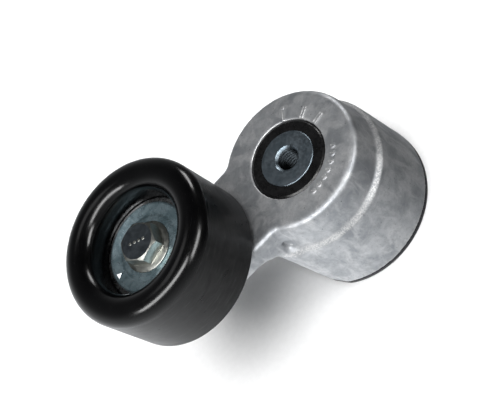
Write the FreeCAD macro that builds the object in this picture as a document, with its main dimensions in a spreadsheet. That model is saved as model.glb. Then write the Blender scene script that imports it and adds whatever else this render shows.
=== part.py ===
import FreeCAD, Part
import Sketcher
import math
import os

# Automatic belt tensioner: a spring-loaded arm that turns on a fixed pivot spindle
# and carries a flat idler pulley on a sealed ball bearing.  Millimetres.
# Frame: Z is the pivot axis, pointing from the rear mounting face to the front;
# the origin is where that axis meets the rear face; +X runs from the pivot to the
# pulley with the arm against its free stop.

doc = FreeCAD.newDocument("Tensioner")
sheet = doc.addObject("Spreadsheet::Sheet", "Dims")

DIMS = [
    # fixed base
    ("plate_r", 41.0), ("plate_t", 1.8), ("dowel_r", 4.1), ("dowel_x", -27.0),
    ("foot_r", 9.0), ("spindle_r", 10.0), ("head_r", 13.3), ("head_z", 54.5),
    ("spindle_top", 58.3), ("thread_r", 5.1), ("thread_mouth", 1.2),
    # arm casting: cup, shoulder, hub and arm
    ("rim_z", 2.2), ("rim_r", 41.1), ("step_z", 38.8), ("step_r", 37.65),
    ("shoulder_z", 42.0), ("shoulder_r", 35.35), ("arm_back_z", 48.6),
    ("hub_z", 57.9), ("hub_r", 33.75), ("arm_half", 22.9), ("kink_r", 6.0),
    ("edge_r", 3.6), ("centre_distance", 67.0), ("gusset_r", 12.1), ("gusset_x", 44.2),
    ("chamber_r", 34.5), ("chamber_top_r", 30.5), ("chamber_step_z", 40.4),
    ("chamber_z", 51.0), ("tube_r", 18.0), ("tube_z", 4.2),
    ("bush_out_r", 12.5), ("bush_in_r", 10.05), ("bush_len", 15.0),
    ("collar_r", 19.0), ("collar_z", 52.0), ("collar_top", 57.8),
    ("boss_r", 14.0), ("seat_z", 68.2), ("spigot_r", 8.5), ("bolt_r", 5.0),
    ("mark_z", 0.45), ("mark_in_r", 19.5), ("mark_out_r", 25.2),
    ("mark_gap", 0.65), ("dot_ring_r", 22.9),
    # torsion spring and its anchors
    ("wire_r", 3.5), ("coil_r", 28.5), ("coil_z", 8.2), ("coil_pitch", 8.6),
    ("coil_turns", 3.25), ("anchor_t", 9.2), ("stop_pin_r", 2.2), ("stop_ring_r", 21.0),
    ("stop_travel", 60.0),
    # deep groove ball bearing
    ("ring_z", 69.6), ("bearing_w", 14.0), ("ring_out_r", 23.5), ("ring_in_r", 8.5),
    ("outer_land_r", 19.9), ("inner_land_r", 12.1), ("pitch_r", 16.0), ("ball_r", 4.365),
    ("groove_r", 4.5), ("race_gap", 0.02), ("seal_t", 1.0), ("seal_set", 0.6),
    ("cage_half", 1.5), ("cage_gap", 0.09),
    # pulley shell, shields and bolt
    ("pulley_r", 38.0), ("pulley_back", 60.3), ("pulley_front", 99.5), ("sheet_t", 2.9),
    ("shield_r", 20.9), ("shield_t", 1.2), ("rear_shield_t", 1.4),
    ("flange_r", 11.8), ("across_flats", 17.0), ("bolt_top", 92.5), ("bolt_tip", 46.0),
]
for row, (name, value) in enumerate(DIMS, start=1):
    sheet.set("A%d" % row, name)
    sheet.set("B%d" % row, str(value))
    sheet.setAlias("B%d" % row, name)
doc.recompute()
VALUES = dict(DIMS)


class Size:
    """A length that carries its number and the spreadsheet expression behind it."""

    def __init__(self, value, text):
        self.value, self.text = float(value), text

    @staticmethod
    def of(other):
        return other if isinstance(other, Size) else Size(other, repr(float(other)))

    def join(self, other, sign, value):
        return Size(value, "(%s %s %s)" % (self.text, sign, Size.of(other).text))

    def __add__(self, other):
        return self.join(other, "+", self.value + Size.of(other).value)

    def __sub__(self, other):
        return self.join(other, "-", self.value - Size.of(other).value)

    def __mul__(self, other):
        return self.join(other, "*", self.value * Size.of(other).value)

    def __truediv__(self, other):
        return self.join(other, "/", self.value / Size.of(other).value)


def dim(name):
    return Size(VALUES[name], "Dims." + name)


def root(a, b):
    """Leg of a right triangle with hypotenuse a and other leg b."""
    value = math.sqrt(a.value ** 2 - b.value ** 2)
    return Size(value, "sqrt(%s^2 - %s^2)" % (a.text, b.text))


def bind(obj, path, size):
    size = Size.of(size)
    if size.text.startswith("(") or "Dims" in size.text:
        obj.setExpression(path, size.text)


def body(name, on_pulley=False):
    part = doc.addObject("PartDesign::Body", name)
    if on_pulley:
        part.Placement.Base.x = VALUES["centre_distance"]
        part.setExpression(".Placement.Base.x", "Dims.centre_distance")
    return part


def origin(part, role):
    return [f for f in part.Origin.OriginFeatures if f.Role == role][0]


def sketch(part, name, plane="XZ_Plane", lift=None):
    item = part.newObject("Sketcher::SketchObject", name)
    item.AttachmentSupport = [(origin(part, plane), "")]
    item.MapMode = "FlatFace"
    if lift is not None:
        item.AttachmentOffset.Base.z = lift.value
        bind(item, ".AttachmentOffset.Base.z", lift)
    return item


def pin_point(item, geo, pos, x, y):
    """Fix one vertex by its coordinates, each driven by the spreadsheet."""
    for kind, given, axis in (("DistanceX", x, -2), ("DistanceY", y, -1)):
        if given is None:
            continue
        size = Size.of(given)
        if abs(size.value) < 1e-9:
            item.addConstraint(Sketcher.Constraint("PointOnObject", geo, pos, axis))
            continue
        if size.value > 0:
            ends, text = (-1, 1, geo, pos), size.text
        else:
            ends, text = (geo, pos, -1, 1), "-(%s)" % size.text
        index = item.addConstraint(Sketcher.Constraint(kind, *ends, abs(size.value)))
        if "Dims" in text:
            item.setExpression("Constraints[%d]" % index, text)


def loop(item, points):
    """Closed outline.  A point is (x, y), or (x, y, cx, cy, turn) when the edge leaving
    it is an arc about (cx, cy): turn is 1 anticlockwise and -1 clockwise."""
    start = item.GeometryCount
    vec = FreeCAD.Vector
    count = len(points)
    ends = []
    for i, p in enumerate(points):
        q = points[(i + 1) % count]
        a = vec(Size.of(p[0]).value, Size.of(p[1]).value, 0)
        b = vec(Size.of(q[0]).value, Size.of(q[1]).value, 0)
        if len(p) == 2:
            item.addGeometry(Part.LineSegment(a, b), False)
            ends.append((1, 2))
            continue
        middle = vec(Size.of(p[2]).value, Size.of(p[3]).value, 0)
        first, last = (a, b) if p[4] > 0 else (b, a)
        t0 = math.atan2(first.y - middle.y, first.x - middle.x)
        t1 = math.atan2(last.y - middle.y, last.x - middle.x)
        if t1 <= t0:
            t1 += 2 * math.pi
        ring = Part.Circle(middle, vec(0, 0, 1), (a - middle).Length)
        item.addGeometry(Part.ArcOfCircle(ring, t0, t1), False)
        ends.append((1, 2) if p[4] > 0 else (2, 1))
    for i in range(count):
        j = (i + 1) % count
        item.addConstraint(Sketcher.Constraint(
            "Coincident", start + i, ends[i][1], start + j, ends[j][0]))
    for i, p in enumerate(points):
        pin_point(item, start + i, ends[i][0], p[0], p[1])
        if len(p) == 5:
            q = points[(i + 1) % count]
            dx = abs(Size.of(p[0]).value - Size.of(q[0]).value)
            dy = abs(Size.of(p[1]).value - Size.of(q[1]).value)
            if dy >= dx:
                pin_point(item, start + i, 3, p[2], None)
            else:
                pin_point(item, start + i, 3, None, p[3])


def circle(item, x, y, r):
    x, y, r = Size.of(x), Size.of(y), Size.of(r)
    geo = item.addGeometry(
        Part.Circle(FreeCAD.Vector(x.value, y.value, 0), FreeCAD.Vector(0, 0, 1), r.value), False)
    pin_point(item, geo, 3, x, y)
    index = item.addConstraint(Sketcher.Constraint("Radius", geo, r.value))
    if "Dims" in r.text:
        item.setExpression("Constraints[%d]" % index, r.text)


def finish(part, feature):
    part.Tip = feature
    doc.recompute()
    return feature


def turn(part, name, points, cut=False):
    """Revolve an (r, z) outline about the body's own Z axis."""
    item = sketch(part, name + "Profile")
    loop(item, points)
    kind = "PartDesign::Groove" if cut else "PartDesign::Revolution"
    feature = part.newObject(kind, name)
    feature.Profile = item
    feature.ReferenceAxis = (origin(part, "Z_Axis"), [""])
    feature.Angle = 360.0
    before = part.Shape.Volume if cut else 0.0
    finish(part, feature)
    if cut and not part.Shape.Volume < before - 1e-6:
        raise ValueError(name + " removed nothing")
    return feature


def pad(part, name, item, length):
    feature = part.newObject("PartDesign::Pad", name)
    feature.Profile = item
    length = Size.of(length)
    feature.Length = length.value
    bind(feature, "Length", length)
    return finish(part, feature)


def pocket(part, name, item, length):
    """Cut upward from the sketch plane."""
    feature = part.newObject("PartDesign::Pocket", name)
    feature.Profile = item
    length = Size.of(length)
    feature.Length = length.value
    bind(feature, "Length", length)
    feature.Reversed = True
    before = part.Shape.Volume
    finish(part, feature)
    if not part.Shape.Volume < before - 1e-6:
        raise ValueError(name + " removed nothing")
    return feature


def loft(part, name, first, second):
    feature = part.newObject("PartDesign::AdditiveLoft", name)
    feature.Profile = first
    feature.Sections = [second]
    feature.Ruled = True
    return finish(part, feature)


def polar(part, name, features, count, angle):
    feature = part.newObject("PartDesign::PolarPattern", name)
    feature.Originals = features
    feature.Axis = (origin(part, "Z_Axis"), [""])
    feature.Angle = angle
    feature.Occurrences = count
    return finish(part, feature)


def around(radius, degrees):
    angle = math.radians(degrees)
    radius = Size.of(radius)
    return radius * math.cos(angle), radius * math.sin(angle)


def edges_at(shape, height):
    """Names of the edges that lie flat at one height."""
    found = []
    for k, edge in enumerate(shape.Edges, start=1):
        box = edge.BoundBox
        if abs(box.ZMin - height) < 1e-4 and abs(box.ZMax - height) < 1e-4:
            found.append("Edge%d" % k)
    return found


def rounded(part, name, edges, radius):
    source = part.Tip
    feature = part.newObject("PartDesign::Fillet", name)
    feature.Base = (source, edges)
    feature.Radius = radius.value
    bind(feature, "Radius", radius)
    return finish(part, feature)


parts = {}

# ---- outlines shared by the cup and the base plate --------------------------------
# Round at the back; toward the pulley a short flank, a facet and a blunt prow.


def cup_outline(item, radius, leave, flank, facet, prow):
    edge = around(radius, leave)
    upper = [edge, flank, facet, prow]
    lower = [(x, Size.of(y) * -1.0) for x, y in reversed(upper)]
    points = upper + lower
    last = points[-1]
    points[-1] = (last[0], last[1], 0.0, 0.0, -1)
    loop(item, points)


# ---- base body --------------------------------------------------------------------
base_plate = body("BasePlate")
item = sketch(base_plate, "PlateOutline", "XY_Plane")
cup_outline(item, dim("plate_r"), 56.5, (24.5, 32.75), (29.6, 25.7), (38.5, 5.4))
pad(base_plate, "Plate", item, dim("plate_t"))
item = sketch(base_plate, "PlateHoles", "XY_Plane")
circle(item, 0, 0, dim("foot_r"))
circle(item, dim("dowel_x"), 0, dim("dowel_r"))
pocket(base_plate, "Holes", item, dim("plate_t"))
parts["base_plate"] = base_plate

spindle = body("PivotSpindle")
top, mouth, bore = dim("spindle_top"), dim("thread_mouth"), dim("thread_r")
turn(spindle, "Turned", [
    (bore, 0.0), (dim("foot_r"), 0.0), (dim("foot_r"), dim("plate_t")),
    (dim("spindle_r"), dim("plate_t")), (dim("spindle_r"), dim("head_z")),
    (dim("head_r"), dim("head_z")), (dim("head_r"), top - 0.5), (dim("head_r") - 0.5, top),
    (bore + mouth, top), (bore, top - mouth)])
parts["pivot_spindle"] = spindle

washer = body("RearThrustWasher")
turn(washer, "Ring", [
    (dim("spindle_r") + 0.05, dim("plate_t")), (dim("tube_r") - 0.5, dim("plate_t")),
    (dim("tube_r") - 0.5, dim("tube_z") - 0.15), (dim("spindle_r") + 0.05, dim("tube_z") - 0.15)])
parts["rear_thrust_washer"] = washer

friction = body("FrictionRing")
turn(friction, "Ring", [
    (dim("chamber_r") - 1.9, dim("plate_t")), (dim("chamber_r") - 0.35, dim("plate_t")),
    (dim("chamber_r") - 0.35, 6.4), (dim("chamber_r") - 0.75, 6.8),
    (dim("chamber_r") - 1.9, 6.8)])
parts["friction_ring"] = friction

STOP_AT = 100.0        # azimuth of the stop pin on the base plate
SPRING_AT = 205.0      # azimuth of the rear end of the spring

stop_pin = body("StopPin")
item = sketch(stop_pin, "PinCircle", "XY_Plane", dim("plate_t"))
px, py = around(dim("stop_ring_r"), STOP_AT)
circle(item, px, py, dim("stop_pin_r"))
pad(stop_pin, "Pin", item, 7.0)
parts["stop_pin"] = stop_pin

coil, wire = dim("coil_r"), dim("wire_r")


def sector(item, inner, outer, start, stop):
    """Block outline between two radii and two azimuths."""
    loop(item, [
        around(inner, start) + (0.0, 0.0, 1), around(inner, stop),
        around(outer, stop) + (0.0, 0.0, -1), around(outer, start)])


anchor = body("SpringAnchor")
item = sketch(anchor, "AnchorOutline", "XY_Plane", dim("plate_t"))
sector(item, coil - 3.2, coil + 3.3, SPRING_AT + 0.7, SPRING_AT + 15.0)
pad(anchor, "Block", item, dim("anchor_t"))
parts["spring_anchor"] = anchor

rise = dim("coil_pitch") * dim("coil_turns")
spring = body("TorsionSpring")
spring.Placement.Rotation = FreeCAD.Rotation(FreeCAD.Vector(0, 0, 1), SPRING_AT)
item = sketch(spring, "WireSection")
circle(item, coil, dim("coil_z"), wire)
wound = spring.newObject("PartDesign::AdditiveHelix", "Coils")
wound.Profile = item
wound.ReferenceAxis = (origin(spring, "Z_Axis"), [""])
wound.Mode = "pitch-turns-angle"
wound.LeftHanded = True
wound.Pitch = VALUES["coil_pitch"]
wound.Turns = VALUES["coil_turns"]
bind(wound, "Pitch", dim("coil_pitch"))
bind(wound, "Turns", dim("coil_turns"))
finish(spring, wound)
parts["torsion_spring"] = spring

# ---- arm body ---------------------------------------------------------------------
arm = body("ArmHousing")
low = sketch(arm, "RimOutline", "XY_Plane", dim("rim_z"))
cup_outline(low, dim("rim_r"), 56.5, (24.6, 32.85), (29.7, 25.8), (38.6, 5.4))
mid = sketch(arm, "StepOutline", "XY_Plane", dim("step_z"))
cup_outline(mid, dim("step_r"), 51.6, (29.0, 27.7), (34.3, 21.0), (39.4, 9.5))
loft(arm, "Cup", low, mid)
low = sketch(arm, "StepOutlineAgain", "XY_Plane", dim("step_z"))
cup_outline(low, dim("step_r"), 51.6, (29.0, 27.7), (34.3, 21.0), (39.4, 9.5))
mid = sketch(arm, "ShoulderOutline", "XY_Plane", dim("shoulder_z"))
cup_outline(mid, dim("shoulder_r"), 51.2, (27.9, 26.6), (33.0, 19.8), (37.4, 9.0))
loft(arm, "Shoulder", low, mid)
hub_draft = (dim("shoulder_r") - dim("hub_r")) / (dim("hub_z") - dim("shoulder_z"))
back_r = dim("hub_r") + hub_draft * (dim("hub_z") - dim("arm_back_z"))
turn(arm, "HubFoot", [
    (0.0, dim("shoulder_z") - 1.0), (dim("shoulder_r"), dim("shoulder_z") - 1.0),
    (dim("shoulder_r"), dim("shoulder_z")), (back_r, dim("arm_back_z")),
    (0.0, dim("arm_back_z"))])


def arm_outline(item, radius, half, kink):
    """Hub circle running through hollow corners into a straight arm with a round end."""
    cy = half + kink
    cx = root(radius + kink, cy)
    scale = radius / (radius + kink)
    touch = (cx * scale, cy * scale)
    end = dim("centre_distance")
    loop(item, [
        touch + (cx, cy, 1), (cx, half), (end, half, end, 0.0, -1), (end, half * -1.0),
        (cx, half * -1.0, cx, cy * -1.0, 1), (touch[0], touch[1] * -1.0, 0.0, 0.0, -1)])


low = sketch(arm, "ArmBackOutline", "XY_Plane", dim("arm_back_z"))
arm_outline(low, back_r, dim("arm_half") + 1.1, dim("kink_r") - 1.0)
top = sketch(arm, "ArmFrontOutline", "XY_Plane", dim("hub_z"))
arm_outline(top, dim("hub_r"), dim("arm_half"), dim("kink_r"))
loft(arm, "ArmPlate", low, top)

rounded(arm, "FrontEdge", edges_at(arm.Shape, VALUES["hub_z"]), dim("edge_r"))

item = sketch(arm, "GussetProfile", "XZ_Plane")
gx, gr, gz = dim("gusset_x"), dim("gusset_r"), dim("arm_back_z")
loop(item, [
    (28.0, gz - gr), (gx - gr, gz - gr, gx, gz - gr, -1), (gx, gz), (gx, gz + 1.5), (28.0, gz + 1.5)])
feature = arm.newObject("PartDesign::Pad", "Gusset")
feature.Profile = item
feature.Midplane = True
feature.Length = 2 * (VALUES["arm_half"] + 0.9)
feature.setExpression("Length", "2 * (Dims.arm_half + 0.9)")
finish(arm, feature)

item = sketch(arm, "BossCircle", "XY_Plane", dim("arm_back_z") - 4.6)
circle(item, dim("centre_distance"), 0, dim("boss_r"))
pad(arm, "Boss", item, dim("seat_z") - dim("arm_back_z") + 4.6)
item = sketch(arm, "SpigotCircle", "XY_Plane", dim("seat_z") - 1.0)
circle(item, dim("centre_distance"), 0, dim("spigot_r"))
pad(arm, "Spigot", item, dim("ring_z") + dim("bearing_w") - dim("seat_z") + 0.7)

turn(arm, "SpringChamber", [
    (dim("tube_r"), 0.0), (dim("chamber_r"), 0.0), (dim("chamber_r"), dim("chamber_step_z")),
    (dim("chamber_top_r"), dim("chamber_step_z") + 2.5), (dim("chamber_top_r"), dim("chamber_z")),
    (dim("tube_r"), dim("chamber_z"))], cut=True)
gap = dim("bush_out_r") + 0.8
turn(arm, "PivotBore", [
    (0.0, 0.0), (dim("tube_r") + 0.5, 0.0), (dim("tube_r") + 0.5, dim("tube_z")),
    (dim("bush_out_r"), dim("tube_z")), (dim("bush_out_r"), dim("tube_z") + dim("bush_len")),
    (gap, dim("tube_z") + dim("bush_len")), (gap, dim("collar_z") - dim("bush_len")),
    (dim("bush_out_r"), dim("collar_z") - dim("bush_len")), (dim("bush_out_r"), dim("collar_z")),
    (dim("collar_r"), dim("collar_z")), (dim("collar_r"), dim("hub_z") + 1.0),
    (0.0, dim("hub_z") + 1.0)], cut=True)
item = sketch(arm, "BoltHole", "XY_Plane", dim("arm_back_z") - 6.0)
circle(item, dim("centre_distance"), 0, dim("bolt_r"))
pocket(arm, "BoltBore", item, Size.of(60.0))

# a lug hanging in the chamber takes the front end of the spring
end_at = SPRING_AT - 360.0 * VALUES["coil_turns"]
item = sketch(arm, "SpringLugOutline", "XY_Plane", dim("coil_z") + rise - 3.2)
sector(item, coil - 3.2, coil + 3.3, end_at - 15.0, end_at - 0.7)
pad(arm, "SpringLug", item, dim("chamber_z") - dim("coil_z") - rise + 3.7)

# two lugs on the hub tube meet the stop pin at the ends of travel
reach = math.degrees(math.asin(VALUES["stop_pin_r"] / VALUES["stop_ring_r"]))
lug_half = math.degrees(math.asin(2.0 / VALUES["stop_ring_r"]))
offset = reach + lug_half + 0.9
for k, azimuth in enumerate((STOP_AT + offset, STOP_AT - VALUES["stop_travel"] - offset)):
    item = sketch(arm, "LugOutline%d" % k, "XY_Plane", dim("tube_z"))
    u = math.radians(azimuth)
    cu, su = math.cos(u), math.sin(u)
    corners = [(-2.0, 16.5), (2.0, 16.5), (2.0, 23.0), (-2.0, 23.0)]
    loop(item, [(r * cu - w * su, r * su + w * cu) for w, r in corners])
    pad(arm, "StopLug%d" % k, item, 5.0)

# index bars with a pip and a row of plain cast dots on the hub face
item = sketch(arm, "IndexOutline", "XY_Plane", dim("hub_z") - 0.3)
inner, outer, gap = VALUES["mark_in_r"], VALUES["mark_out_r"], VALUES["mark_gap"]
for azimuth, sides in ((-120.4, (0.0,)), (-148.3, (-gap, gap)), (-171.3, (-gap, gap))):
    u = math.radians(azimuth)
    cu, su = math.cos(u), math.sin(u)
    for side in sides:
        corners = [
            (side - 0.3, inner), (side + 0.3, inner), (side + 0.3, outer), (side - 0.3, outer)]
        loop(item, [(r * cu - w * su, r * su + w * cu) for w, r in corners])
pad(arm, "IndexBars", item, dim("mark_z") + 0.3)
item = sketch(arm, "DotOutline", "XY_Plane", dim("hub_z") - 0.3)
dx, dy = around(dim("dot_ring_r"), 88.6)
circle(item, dx, dy, 0.95)
dot = pad(arm, "Dot", item, dim("mark_z") + 0.2)
polar(arm, "Dots", [dot], 7, 56.0)
item = sketch(arm, "PipOutline", "XY_Plane", dim("hub_z") - 0.3)
dx, dy = around(dim("mark_out_r") + 0.6, -121.0)
circle(item, dx, dy, 0.9)
pad(arm, "IndexPip", item, dim("mark_z") + 0.2)


parts["arm_housing"] = arm


def journal(name, low):
    part = body(name)
    turn(part, "Sleeve", [
        (dim("bush_in_r"), low), (dim("bush_out_r"), low),
        (dim("bush_out_r"), low + dim("bush_len")), (dim("bush_in_r"), low + dim("bush_len"))])
    return part


parts["rear_bushing"] = journal("RearBushing", dim("tube_z"))
parts["front_bushing"] = journal("FrontBushing", dim("collar_z") - dim("bush_len"))

collar = body("ThrustCollar")
inner = dim("head_r") + 0.1
turn(collar, "Ring", [
    (dim("spindle_r") + 0.05, dim("collar_z")), (dim("collar_r"), dim("collar_z")),
    (dim("collar_r"), dim("collar_top") - 0.9), (dim("collar_r") - 1.1, dim("collar_top")),
    (inner, dim("collar_top")), (inner, dim("head_z") - 0.1),
    (dim("spindle_r") + 0.05, dim("head_z") - 0.1)])
parts["thrust_collar"] = collar

# ---- pulley bolt, shields and inner ring (clamped to the arm) ----------------------
face = dim("ring_z") + dim("bearing_w")
seat = face + dim("shield_t")

bolt = body("PulleyBolt", True)
item = sketch(bolt, "HexOutline", "XY_Plane", seat + 0.5)
corner = dim("across_flats") / math.sqrt(3.0)
loop(item, [around(corner, 15.2 + 60.0 * k) for k in range(6)])
pad(bolt, "HexHead", item, dim("bolt_top") - seat - 0.5)
turn(bolt, "FlangeAndShank", [
    (0.0, dim("bolt_tip")), (dim("bolt_r") - 0.8, dim("bolt_tip")),
    (dim("bolt_r"), dim("bolt_tip") + 0.8), (dim("bolt_r"), seat), (dim("flange_r"), seat),
    (dim("flange_r"), seat + 0.5), (dim("flange_r") - 1.9, seat + 1.3), (0.0, seat + 2.4)])
turn(bolt, "HeadChamfer", [
    (dim("across_flats") * 0.472, dim("bolt_top")),
    (dim("across_flats") * 0.66, dim("bolt_top") - 1.9),
    (dim("across_flats") * 0.66, dim("bolt_top"))], cut=True)
parts["pulley_bolt"] = bolt

shield = body("FrontDustShield", True)
t = dim("shield_t")
turn(shield, "Dish", [
    (dim("bolt_r") + 0.1, face), (13.4, face), (15.2, face + 0.75),
    (dim("shield_r") - 0.9, face + 0.75), (dim("shield_r"), face + 0.55),
    (dim("shield_r"), face + 1.2), (dim("shield_r") - 0.8, face + 1.85),
    (14.8, face + 1.85), (13.0, seat), (dim("bolt_r") + 0.1, seat)])
parts["front_dust_shield"] = shield

rear = body("RearDustShield", True)
turn(rear, "Dish", [
    (dim("spigot_r"), dim("seat_z")), (14.2, dim("seat_z")), (15.6, dim("seat_z") - 0.7),
    (21.2, dim("seat_z") - 0.7), (21.2, dim("seat_z") + 0.4), (16.0, dim("seat_z") + 0.4),
    (13.6, dim("ring_z") - 0.4), (11.6, dim("ring_z")), (dim("spigot_r"), dim("ring_z"))])
parts["rear_dust_shield"] = rear

centre = dim("ring_z") + dim("bearing_w") / 2


def race(name, land, bore, sign):
    """Bearing ring with a raceway groove and small corner chamfers."""
    bottom = dim("pitch_r") + (dim("ball_r") + dim("race_gap")) * sign
    depth = bottom - land if sign > 0 else land - bottom
    mid = dim("groove_r") - depth
    half = root(dim("groove_r"), mid)
    c = 0.5
    lip = 0.7 if sign > 0 else 0.0
    set_in = dim("seal_set") + dim("seal_t")
    points = [
        (bore, dim("ring_z") + c), (bore - c * sign, dim("ring_z"))]
    if sign > 0:
        points += [
            (land + lip, dim("ring_z")), (land + lip, dim("ring_z") + set_in),
            (land, dim("ring_z") + set_in)]
    else:
        points += [(land - 0.2, dim("ring_z")), (land, dim("ring_z") + 0.2)]
    points += [
        (land, centre - half, bottom - dim("groove_r") * sign, centre, sign),
        (land, centre + half)]
    if sign > 0:
        points += [
            (land, face - set_in), (land + lip, face - set_in), (land + lip, face)]
    else:
        points += [(land, face - 0.2), (land - 0.2, face)]
    points += [(bore - c * sign, face), (bore, face - c)]
    part = body(name, True)
    turn(part, "Ring", points)
    return part


parts["bearing_inner_ring"] = race("BearingInnerRing", dim("inner_land_r"), dim("ring_in_r"), -1.0)
parts["bearing_outer_ring"] = race("BearingOuterRing", dim("outer_land_r"), dim("ring_out_r"), 1.0)

# ---- cage and balls ----------------------------------------------------------------
BALLS = 7
cage = body("BearingCage", True)
turn(cage, "Crown", [
    (dim("pitch_r") - dim("cage_half"), centre - 5.1), (dim("pitch_r") + dim("cage_half"), centre - 5.1),
    (dim("pitch_r") + dim("cage_half"), centre + 2.2), (dim("pitch_r") - dim("cage_half"), centre + 2.2)])
scoop = cage.newObject("PartDesign::SubtractiveSphere", "BallPocket")
scoop.AttachmentSupport = [(origin(cage, "XY_Plane"), "")]
scoop.MapMode = "FlatFace"
scoop.AttachmentOffset.Base = FreeCAD.Vector(VALUES["pitch_r"], 0, centre.value)
bind(scoop, ".AttachmentOffset.Base.x", dim("pitch_r"))
bind(scoop, ".AttachmentOffset.Base.z", centre)
scoop.Radius = VALUES["ball_r"] + VALUES["cage_gap"]
bind(scoop, "Radius", dim("ball_r") + dim("cage_gap"))
finish(cage, scoop)
polar(cage, "BallPockets", [scoop], BALLS, 360.0)
parts["bearing_cage"] = cage

for k in range(BALLS):
    ball = doc.addObject("Part::Sphere", "Ball%d" % (k + 1))
    ball.Radius = VALUES["ball_r"]
    ball.setExpression("Radius", "Dims.ball_r")
    turned = 360.0 * k / BALLS
    bx, by = around(dim("pitch_r"), turned)
    bx = bx + dim("centre_distance")
    ball.Placement = FreeCAD.Placement(
        FreeCAD.Vector(bx.value, by.value, centre.value),
        FreeCAD.Rotation(FreeCAD.Vector(0, 0, 1), turned))
    for axis, size in (("x", bx), ("y", by), ("z", centre)):
        bind(ball, ".Placement.Base." + axis, size)
    parts["bearing_ball_%d" % (k + 1)] = ball

# ---- pulley body --------------------------------------------------------------------


def seal(name, low):
    part = body(name, True)
    turn(part, "Lip", [
        (dim("inner_land_r") + 0.3, low + 0.25), (dim("inner_land_r") + 1.4, low),
        (dim("outer_land_r") + 0.7, low), (dim("outer_land_r") + 0.7, low + dim("seal_t")),
        (dim("inner_land_r") + 1.4, low + dim("seal_t")),
        (dim("inner_land_r") + 0.3, low + dim("seal_t") - 0.25)])
    return part


parts["front_seal"] = seal("FrontSeal", face - dim("seal_set") - dim("seal_t"))
parts["rear_seal"] = seal("RearSeal", dim("ring_z") + dim("seal_set"))

shell = body("PulleyShell", True)
wide, bore, t = dim("pulley_r"), dim("ring_out_r"), dim("sheet_t")
roll = (wide - bore) / 2
mid = (wide + bore) / 2
z = dim("pulley_front") - roll
lip = dim("ring_z") - 1.6
turn(shell, "RolledSheet", [
    (wide - 0.4, dim("pulley_back")), (wide, dim("pulley_back") + 0.4),
    (wide, z, mid, z, 1), (bore, z), (bore, dim("ring_z")),
    (bore - 1.3, dim("ring_z")), (bore - 1.3, lip), (bore + t, lip),
    (bore + t, z, mid, z, -1), (wide - t, z),
    (wide - t, dim("pulley_back"))])
parts["pulley_shell"] = shell

doc.recompute()
bad = [o.Name for o in doc.Objects if "Invalid" in o.State or "Error" in o.State]
if bad:
    raise ValueError("objects in error: " + ", ".join(bad))
os.makedirs("parts", exist_ok=True)
for node, source in parts.items():
    shape = source.Shape
    if shape.isNull() or not shape.isValid() or len(shape.Solids) != 1:
        raise ValueError("%s: solids %d valid %s" % (node, len(shape.Solids), shape.isValid()))
    shape.exportStep("parts/%s.step" % node)
    box = shape.BoundBox
    print("%-20s vol %9.1f  z %6.2f..%6.2f" % (node, shape.Volume, box.ZMin, box.ZMax))
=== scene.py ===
import math

import bmesh
import bpy
import numpy as np
from mathutils import Matrix, Quaternion, Vector


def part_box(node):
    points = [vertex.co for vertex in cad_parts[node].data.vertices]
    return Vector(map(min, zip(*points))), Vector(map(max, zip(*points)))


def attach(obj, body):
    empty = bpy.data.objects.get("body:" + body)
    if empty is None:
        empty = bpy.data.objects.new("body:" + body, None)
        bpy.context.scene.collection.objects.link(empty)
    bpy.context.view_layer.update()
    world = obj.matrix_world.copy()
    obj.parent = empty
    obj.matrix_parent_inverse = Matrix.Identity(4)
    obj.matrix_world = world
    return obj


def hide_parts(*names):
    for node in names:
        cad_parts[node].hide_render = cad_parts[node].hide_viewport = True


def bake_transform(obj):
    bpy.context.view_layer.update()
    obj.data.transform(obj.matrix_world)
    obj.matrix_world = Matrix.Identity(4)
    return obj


# Belt tensioner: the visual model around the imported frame.  Z is the pivot axis and
# points from the floor to the front of the tensioner; X runs from it to the pulley.
# Outlines are in millimetres, everything handed to Blender is in metres.

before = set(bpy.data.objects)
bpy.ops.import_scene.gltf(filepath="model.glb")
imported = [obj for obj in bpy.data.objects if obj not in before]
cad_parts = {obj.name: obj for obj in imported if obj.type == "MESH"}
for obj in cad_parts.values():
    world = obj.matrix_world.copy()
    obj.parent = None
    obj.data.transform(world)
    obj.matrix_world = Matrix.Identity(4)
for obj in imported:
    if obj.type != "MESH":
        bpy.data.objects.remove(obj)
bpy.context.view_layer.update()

MM = 0.001
scene = bpy.context.scene


def span(node, axis):
    """Lowest and highest place of a CAD node along one axis, in millimetres."""
    low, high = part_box(node)
    return low[axis] / MM, high[axis] / MM


# ---- driving dimensions, read from the frame where it holds them --------------------
PULLEY_BACK, PULLEY_FRONT = span("pulley_shell", 2)
PULLEY_R = (span("pulley_shell", 1)[1] - span("pulley_shell", 1)[0]) / 2
CENTRES = span("pulley_shell", 0)[1] - PULLEY_R
RING_BACK, RING_FACE = span("bearing_outer_ring", 2)
RING_R = span("bearing_outer_ring", 1)[1]
SHIELD_R = span("front_dust_shield", 1)[1]
SHIELD_TOP = span("front_dust_shield", 2)[1]
SPINDLE_TOP = span("pivot_spindle", 2)[1]
HEAD_R = span("pivot_spindle", 1)[1]
COLLAR_R = span("thrust_collar", 1)[1]
COLLAR_BACK, COLLAR_TOP = span("thrust_collar", 2)
FLANGE_R = span("pulley_bolt", 1)[1]
BOLT_TIP, BOLT_TOP = span("pulley_bolt", 2)
PLATE_T = span("base_plate", 2)[1]
SHEET_T = 2.9
OUTER_LAND, INNER_LAND = 19.9, 12.1
ACROSS_FLATS = 17.0
HEX_TURN = 15.2
HUB_FACE = 57.9
BAND_LOW, BAND_HIGH = 39.0, 42.2      # the step band round the cup, painted paler as a highlight


# ---- mesh helpers --------------------------------------------------------------------
def piece(name, mesh, looks, body, slot, *nodes):
    for look in looks:
        mesh.materials.append(look)
    made = bpy.data.objects.new(name, mesh)
    scene.collection.objects.link(made)
    if body is not None:
        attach(made, body)
    if nodes:
        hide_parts(*nodes)
    return made


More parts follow.
